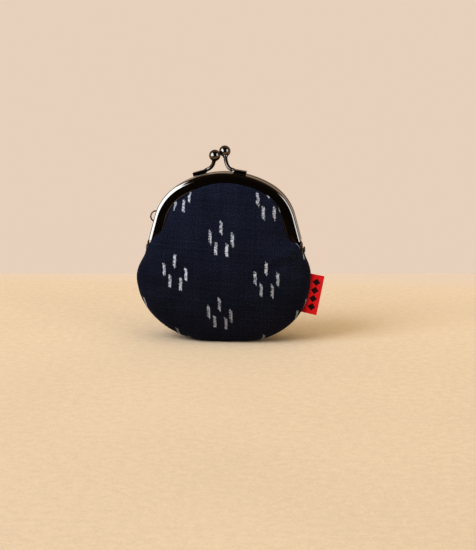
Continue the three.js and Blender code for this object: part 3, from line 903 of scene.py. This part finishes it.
def blurred(values, steps):
    """Values round a closed line, averaged with neighbours by a bell curve of that many steps."""
    reach = np.arange(-3 * steps, 3 * steps + 1)
    bell = np.exp(-0.5 * (reach / steps) ** 2)
    bell /= bell.sum()
    return sum(b * np.roll(values, k, axis=0) for k, b in zip(reach, bell))


def side_lines(s, c, side, layer):
    """The guide lines of a panel on one side, from the bottom seam up to the middle of the bow.

    Columns: reach, how far the bulge goes, turn, where the cloth comes back behind it, and tuck,
    where it ends, each as (x, z), then their three distances from the middle plane, and hold,
    which is 1 inside the channel."""
    lay = bow_layout(s)
    width, power, inset = getattr(c, side.width), 2 / side.fullness, layer.inset
    share, bend = side.narrows
    puff, roll = layer.puff, layer.roll
    # Seam
    a = np.linspace(-np.pi / 2, 0, 120)[:-1]
    fall = c.drop * np.abs(np.sin(a)) ** power
    belly = np.stack([width * np.cos(a) ** power, c.widest - fall], 1)
    seam_top = s.hinge_height - SEAM_TOP
    z = np.linspace(c.widest, seam_top, 40)[:-1]
    climb = np.clip((z - c.widest) / (seam_top - c.widest), 0, 1)
    seam = np.vstack([belly, np.stack([width * (1 - share * climb**bend), z], 1)])
    out = unit(seam - [0, c.widest])
    lines = [seam - out * (inset + edge) for edge in (0.0, TURNED, TUCKED)]
    edge = np.tile([roll, *SEAM_DEEP, 0.0], (len(seam), 1))
    parts = [np.hstack([*lines, edge])]
    # Free edge between the seam and the leg's end
    last = seam[-1, 0]
    z = np.linspace(seam_top, lay.end_z - 1.2, 40)[:-1]
    t = (z - seam_top) / (z[-1] - seam_top)
    swell = last - 0.25 + (lay.end_x - 1.0 - last) * smooth(0.2, 1.0, t)
    swell = swell - inset - (1 - puff) * 2.2 * smooth(0, 0.3, t)
    pinch = mix(last - TURNED, lay.end_x - 2.4, smooth(0.0, 0.26, t)) - inset * 0.7
    far = s.parting_gap / 2 + s.half_depth
    channel = far - s.wall - 0.3 - layer.into_channel
    over = far + 1.1 if puff else channel
    rise = smooth(0.0, 1.0, t)
    deep = [mix(roll, over + 0.3, smooth(0, 0.5, t)), *(mix(d, channel, rise) for d in SEAM_DEEP)]
    tucked = [pinch - mix(TUCKED, 1.5, t), z - 0.6 * t]
    parts.append(np.stack([swell, z, pinch, z, *tucked, *deep, rise], 1))
    # Inside the channel
    count = 260
    tip, inward = bow_line(s, s.face_height + 0.45 + inset * 0.4, 0.4, 2 * count - 1)
    edge, _ = bow_line(s, s.shoulder + 0.4, 0.6, 2 * count - 1)
    tip, inward, edge = (v[count - 1 :][::-1, [0, 2]] for v in (tip, inward, edge))
    lap = puff * eased(np.linspace(0, 1, count), side.lap)[:, None]
    deep = np.tile([over if puff else channel + 0.5, channel + 0.15, channel, 1.0], (count, 1))
    parts.append(np.hstack([tip - inward * lap, tip, edge, deep]))
    return np.vstack(parts)


def panel_surface(s, c, layer, columns):
    """Front panel as a grid: rays from its middle, each a superellipse bulge, a turn and a tuck.

    Bulge: in-plane share sin(f)^(2/p) and depth cos(f)^(2/q) for f from 0 to 90 degrees.
    Returns the points by row and column, the middle point, flat cloth coordinates, and for
    each point a weight that goes from 0 in the middle of the panel to 1 where the channel holds it."""
    right, left = (side_lines(s, c, side, layer) for side in (RIGHT, LEFT))
    left[:, [0, 2, 4]] *= -1
    closed = np.vstack([right, left[1:-1][::-1], right[:1]])
    gone = distance_along(closed[:, :2])
    at = np.linspace(0, gone[-1], columns, endpoint=False)
    every = np.stack([np.interp(at, gone, line) for line in closed.T], 1)
    every[:, [0, 1, 6]] = blurred(every, 3)[:, [0, 1, 6]]
    reach, turn, tuck = every[:, 0:2], every[:, 2:4], every[:, 4:6]
    deep, hold = every[:, 6:9], every[:, 9]
    middle = np.array([0.0, c.widest - POLE_DROP])
    spoke = reach - middle
    upwards = smooth(-0.25, 0.95, unit(spoke)[:, 1])
    p, q = mix(*PLAN_POWERS, upwards), mix(*DEPTH_POWERS, upwards)
    f = np.linspace(0, np.pi / 2, 91)[1:, None]
    share = np.sin(f) ** (2 / p)
    bulge = c.depth - layer.inset
    depth = deep[:, 0] + (bulge - deep[:, 0]) * np.cos(f).clip(0) ** (2 / q)
    flat = middle + share[..., None] * spoke
    g = np.linspace(0, np.pi / 2, 11)[1:, None]
    back = turn + (reach - turn) * np.cos(g)[..., None]
    back_depth = mix(deep[:, 0], deep[:, 1], np.sin(g))
    h = np.linspace(0, 1, 6)[1:, None]
    inside = mix(turn, tuck, h[..., None])
    inside_depth = mix(deep[:, 1], deep[:, 2], h)
    plane = np.concatenate([flat, back, inside])
    y = -np.concatenate([depth, back_depth, inside_depth])
    grid = np.stack([plane[..., 0], y, plane[..., 1]], -1)
    pole = np.array([middle[0], -bulge, middle[1]])
    step = np.diff(np.concatenate([np.broadcast_to(pole, grid[:1].shape), grid]), axis=0)
    full, plan = np.linalg.norm(step, axis=2), np.linalg.norm(step[..., [0, 2]], axis=2)
    share = np.concatenate([share, np.ones((len(g) + len(h), columns))])
    travel = mix(plan, full, smooth(0.45, 0.85, share)).cumsum(0)
    weight = mix(blurred(hold, 14) * smooth(0.12, 0.98, share), hold, smooth(0.82, 1.0, share))
    return SimpleNamespace(
        grid=grid,
        pole=pole,
        uv=middle + travel[..., None] * unit(spoke),
        middle=middle,
        weight=weight,
        share=share,
        hold=hold,
        at=at,
    )


def settle(z, floor):
    """Heights pressed up to the floor with a soft corner: half of z plus the root of z^2 + e^2."""
    return floor + 0.5 * (z - floor + np.sqrt((z - floor) ** 2 + SETTLE_CORNER**2)) - 0.04


def grid_normals(grid):
    """Unit normals of a closed grid of points, by differences along rows and columns."""
    down = np.gradient(grid, axis=0)
    along = np.roll(grid, -1, axis=1) - np.roll(grid, 1, axis=1)
    n = np.cross(along, down)
    return n / np.maximum(np.linalg.norm(n, axis=2, keepdims=True), 1e-9)


def cloth_folds(panel, phase):
    """How far the cloth stands in or out along its normal.

    Slow lumps, puckers along the frame and seam, and soft creases that run in from the hinges."""
    x, z = panel.grid[..., 0], panel.grid[..., 2]
    share, hold = panel.share, panel.hold
    lumps = 0.32 * np.sin(x * 0.16 + 0.05 * z + phase) * np.sin(z * 0.13 - 0.04 * x + 1.7 * phase)
    lumps += 0.18 * np.sin(x * 0.31 - 0.12 * z + 2.1 + phase) * np.sin(z * 0.27 + 0.6)
    lumps = lumps * smooth(0.0, 0.3, share) * (1 - smooth(0.9, 1.0, share))
    waves = ((0.5, 0.17, phase), (0.35, 0.29, 2.0 + phase), (0.3, 0.11, 4.0))
    at_frame = smooth(0.62, 0.93, share) * (1 - smooth(0.985, 1.0, share))
    at_seam = smooth(0.7, 0.95, share) * (1 - smooth(0.97, 1.0, share))
    pucker = bumpy(panel.at, waves) * (0.16 * hold * at_frame + 0.12 * (1 - hold) * at_seam)
    crease = 0
    for x0, z0, x1, z1, wide, high in CREASES:
        dx, dz = x1 - x0, z1 - z0
        t = ((x - x0) * dx + (z - z0) * dz) / (dx * dx + dz * dz)
        off = ((x - x0) * dz - (z - z0) * dx) / np.hypot(dx, dz)
        line = smooth(-0.25, 0.25, t) * (1 - smooth(0.55, 1.15, t))
        crease = crease + high * np.exp(-((off / wide) ** 2)) * line
    return lumps + pucker + crease * (1 - smooth(0.965, 1.0, share))


def thicken(piece, thickness, offset):
    """Gives an open surface its thickness."""
    solid = piece.modifiers.new("thickness", "SOLIDIFY")
    solid.thickness, solid.offset = thickness, offset


def cloth_panel(context, name, front, layer, material, thickness, folds):
    """One cloth panel: an open surface, thickened outwards."""
    s = sizes_mm(context.scene.purse_frame)
    c = sizes_mm(context.scene.purse_cloth)
    panel = panel_surface(s, c, layer, PANEL_COLUMNS)
    grid = panel.grid
    if folds is not None:
        grid = grid + grid_normals(grid) * cloth_folds(panel, folds)[..., None]
    rows, columns = grid.shape[:2]
    grid[..., 2] = settle(grid[..., 2], layer.inset + thickness / MM)
    points = np.vstack([grid.reshape(-1, 3), panel.pole])
    uv = np.vstack([panel.uv.reshape(-1, 2), panel.middle])
    points[:, 1] *= front
    ring = np.arange(columns)
    fan = np.stack([np.full(columns, rows * columns), np.roll(ring, -1), ring], 1)
    faces = grid_quads(rows, columns, True) + fan.tolist()
    if front < 0:
        uv = uv * [-1, 1] + BACK_SHIFT
        faces = [f[::-1] for f in faces]
    cloth = make_object(name, points, faces, material, 180, uv)
    thicken(cloth, thickness, -1.0)
    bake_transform(cloth)
    return cloth


class PURSE_OT_outer_cloth(bpy.types.Operator):
    """Outer cloth: a front and a back panel gathered into the frame"""

    bl_idname = "purse.outer_cloth"
    bl_label = "Outer cloth"

    def execute(self, context):
        sizes = context.scene.purse_cloth
        cloth = indigo_cloth(context.scene.purse_colours, sizes_mm(sizes))
        for (half, front), phase in zip(HALVES, (0.4, 2.3)):
            name = f"{half}_cloth"
            panel = cloth_panel(context, name, front, OUTER, cloth, sizes.outer_cloth, phase)
            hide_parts(f"outer_{half}")
        return {"FINISHED"}


class PURSE_OT_lining(bpy.types.Operator):
    """Lining: a front and a back panel of plain cotton"""

    bl_idname = "purse.lining"
    bl_label = "Lining"

    def execute(self, context):
        thickness = context.scene.purse_cloth.lining_cloth
        cotton = lining_cotton(context.scene.purse_colours)
        for half, front in HALVES:
            name = f"{half}_lining_cloth"
            panel = cloth_panel(context, name, front, LINING, cotton, thickness, None)
            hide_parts(f"lining_{half}")
        return {"FINISHED"}


class PURSE_OT_side_tag(bpy.types.Operator):
    """Ribbon tag folded over and caught in the right side seam"""

    bl_idname = "purse.side_tag"
    bl_label = "Side tag"

    def execute(self, context):
        c = sizes_mm(context.scene.purse_cloth)
        fall = (c.widest - c.tag_height) / c.drop
        power = 2 / RIGHT.fullness
        angle = np.arcsin(fall ** (1 / power))
        spots = np.array([angle, angle * 0.98])
        x = c.right_width * np.cos(spots) ** power
        z = c.widest - c.drop * np.sin(spots) ** power
        lean = 0.86 * np.arctan2(x[1] - x[0], z[1] - z[0])
        # Section: front layer, fold and back layer, as (out of the seam, towards the back)
        fold = c.tag_reach - TAG_FOLD
        run = np.linspace(-TAG_ROOT, fold, 28)
        gap = TAG_FOLD * smooth(-TAG_ROOT, 2.0, run) + 0.08
        bend = arc((fold, 0), TAG_FOLD, -90, 90, 11)[1:-1]
        layers = np.stack([run, -gap], 1), bend, np.stack([run, gap], 1)[::-1]
        u, y = np.vstack(layers).T
        v = np.linspace(-0.5, 0.5, 61)[:, None] * c.tag_length
        wave = 0.35 * np.sin(v * 0.16 + 0.5) * smooth(0.5, 7.0, u) ** 1.3
        wave += 0.25 * smooth(2.0, 7.2, u) * np.cos(v * 0.31)
        across = x[0] + u * np.cos(lean) + v * np.sin(lean)
        upwards = z[0] - u * np.sin(lean) + v * np.cos(lean)
        points = np.stack([across, y + wave, upwards], -1).reshape(-1, 3)
        uv = np.stack(np.broadcast_arrays(u, v), -1).reshape(-1, 2)
        faces = grid_quads(len(v), len(u), False)
        ribbon = red_ribbon(context.scene.purse_colours)
        tag = make_object("side_ribbon_tag", points, faces, ribbon, 180, uv)
        thicken(tag, 0.00014, 0.0)
        finish_piece(tag, "pouch", "side_tag")
        return {"FINISHED"}


# Stage: sizes in metres, angles in degrees

TABLE = ((-0.9, -0.318), (0.9, -0.318), (0.9, 0.184), (-0.9, 0.184))
VIEW_TURN = 5.5
VIEW_RISE = 10.5
VIEW_AWAY = 0.8
VIEW_AIM = (0.0065, 0.0, 0.0333)
VIEW_HEIGHT = 550 * 0.00051  # what the picture's height shows at the purse
SENSOR = 36  # millimetres
WINDOW_EDGE = np.radians(2.5)  # softness of a mirrored window's edge

# Lamps: name, place, point looked at, size, watts and colour
LAMPS = (
    ("window", (-2.0, -1.75, 2.2), (0, 0, 0.05), (2.0, 2.0), 77.0, (0.83, 1.0, 1.26)),
    ("ceiling", (0.05, -0.35, 1.25), (0, -0.02, 0), (1.7, 1.5), 7.4, (1.0, 0.94, 0.84)),
    ("side", (0.8, -0.8, 0.35), (0, 0, 0.06), (0.4, 0.4), 2.0, (1.0, 0.97, 0.93)),
)


def table_top(colours):
    """Pale papery table that fades to the room's colour at its back edge."""
    nodes = Nodes(bpy.data.materials.new("table_top"))
    place = nodes.object_place()
    y = nodes.split(place)[1]
    grain = nodes.noise(place, 9.0) * 0.5 + nodes.noise(place, 900.0)
    grain = nodes.noise(place, 260.0) * 0.8 + grain
    # Painted shade at the front and painted light towards the back, against the lamps' uneven
    # light.
    near, far = ([c * k for c in colours.table] for k in (0.93, 1.1))
    base = nodes.blend(y.ramp(-0.3, 0.16), near, far)
    base = nodes.blend(grain.ramp(0.85, 1.45) * 0.11, base, (0.0, 0.0, 0.0))
    base = nodes.blend(y.ramp(0.135, 0.184), base, colours.far_edge)
    nodes.set({"Base Color": base, "Roughness": 0.8, "Specular IOR Level": 0.0})
    return nodes.owner


def room_light(colours):
    """World: the pale room for the camera and soft light for matt surfaces.

    Reflections see the same pale room behind, a dim one in front, and two bright windows."""
    nodes = Nodes(bpy.data.worlds.new("room"))
    nodes.tree.nodes.clear()
    x, y, z = nodes.split(nodes.add("TexCoord")["Generated"])
    turn = x.math("ARCTAN2", y * -1.0)
    rise = z.math("ARCSINE")

    def window(strength, *ranges):
        """strength where each angle lies between its limits in degrees, with soft edges."""
        share = strength
        for value, limits in ranges:
            low, high = np.radians(limits)
            share = value.ramp(low - WINDOW_EDGE, low + WINDOW_EDGE) * share
            share = value.ramp(high - WINDOW_EDGE, high + WINDOW_EDGE, 1.0, 0.0) * share
        return share

    slanted = (turn * 1.25 + rise, (-200, -10)), (turn - rise * 1.6, (-200, -27))
    left = window(11.0, (turn, (-80, 0)), (rise, (-9, 46)), *slanted)
    right = window(6.5, (turn, (44, 76)), (rise, (-3, 36)))
    dim = rise.ramp(np.radians(-20), np.radians(70), 0.02, 0.06)
    seen = nodes.background(colours.wall, 1.0)
    glow = nodes.background(colours.wall, y.ramp(-0.1, 0.4) + dim)
    windows = nodes.background((0.8, 1.0, 1.3), left + right)
    soft = nodes.background((1.0, 0.8, 0.5), 0.4)
    path = nodes.add("LightPath")
    direct = Value(nodes, path["Is Camera Ray"]).math("MAXIMUM", path["Is Transmission Ray"])
    mirrored = nodes.add("AddShader", (glow, windows))[0]
    lit = nodes.add("MixShader", (path["Is Glossy Ray"], soft, mirrored))[0]
    room = nodes.add("MixShader", (direct, lit, seen))[0]
    nodes.add("OutputWorld", (room,))
    return nodes.owner


def soft_box(name, place, aim, size, power, tint):
    """A rectangular lamp that looks at a point; the world gives its mirror image."""
    data = bpy.data.lights.new(name, "AREA")
    data.shape, data.size, data.size_y = "RECTANGLE", size[0], size[1]
    data.energy, data.color = power, tint
    lamp = bpy.data.objects.new(name, data)
    lamp.location = place
    lamp.rotation_euler = (Vector(aim) - Vector(place)).to_track_quat("-Z", "Y").to_euler()
    lamp.visible_glossy = False
    bpy.context.scene.collection.objects.link(lamp)


class PURSE_OT_stage(bpy.types.Operator):
    """Table, soft lamps and the camera"""

    bl_idname = "purse.stage"
    bl_label = "Stage"

    def execute(self, context):
        scene = context.scene
        scene.view_settings.view_transform = "Standard"
        colours = scene.purse_colours
        turn, rise = np.radians(VIEW_TURN), np.radians(VIEW_RISE)
        flat = np.array(TABLE) / MM
        across, along = flat @ [np.cos(turn), -np.sin(turn)], flat @ [np.sin(turn), np.cos(turn)]
        corners = np.stack([across, along, np.zeros(4)], 1)
        table = make_object("table", corners, [(0, 1, 2, 3)], table_top(colours))
        scene.world = room_light(colours)
        for lamp in LAMPS:
            soft_box(*lamp)
        data = bpy.data.cameras.new("camera")
        camera = bpy.data.objects.new("camera", data)
        scene.collection.objects.link(camera)
        level = np.cos(rise)
        back = Vector((np.sin(turn) * level, -np.cos(turn) * level, np.sin(rise)))
        camera.location = Vector(VIEW_AIM) + back * VIEW_AWAY
        camera.rotation_euler = (-back).to_track_quat("-Z", "Y").to_euler()
        data.lens = SENSOR * VIEW_AWAY / VIEW_HEIGHT
        data.clip_start, data.clip_end = 0.01, 20
        scene.camera = camera
        return {"FINISHED"}


OPERATORS = (
    PURSE_OT_stage,
    PURSE_OT_bows,
    PURSE_OT_rivets,
    PURSE_OT_clasp,
    PURSE_OT_strap_loop,
    PURSE_OT_paper_cords,
    PURSE_OT_outer_cloth,
    PURSE_OT_lining,
    PURSE_OT_side_tag,
)


class PURSE_PT_sidebar(bpy.types.Panel):
    """Sizes, colours and the steps that build the purse"""

    bl_idname = "PURSE_PT_sidebar"
    bl_label = "Coin purse"
    bl_space_type = "VIEW_3D"
    bl_region_type = "UI"
    bl_category = "Purse"

    def draw(self, context):
        for key in GROUPS:
            group, box = getattr(context.scene, key), self.layout.box()
            for name in group.__annotations__:
                box.prop(group, name)
        for operator in OPERATORS:
            self.layout.operator(operator.bl_idname)


GROUPS = {
    "purse_frame": PurseFrameSizes,
    "purse_cloth": PurseClothSizes,
    "purse_colours": PurseColours,
}
CLASSES = (*GROUPS.values(), *OPERATORS, PURSE_PT_sidebar)


def register():
    """Adds the classes, and the property groups to the scene."""
    for cls in CLASSES:
        bpy.utils.register_class(cls)
    for key, cls in GROUPS.items():
        setattr(bpy.types.Scene, key, PointerProperty(type=cls))


def unregister():
    """Takes away what register added."""
    for key in GROUPS:
        delattr(bpy.types.Scene, key)
    for cls in reversed(CLASSES):
        bpy.utils.unregister_class(cls)


def main():
    """Builds the purse and its stage."""
    register()
    for operator in OPERATORS:
        group, _, step = operator.bl_idname.partition(".")
        getattr(getattr(bpy.ops, group), step)()


if __name__ == "__main__":
    main()
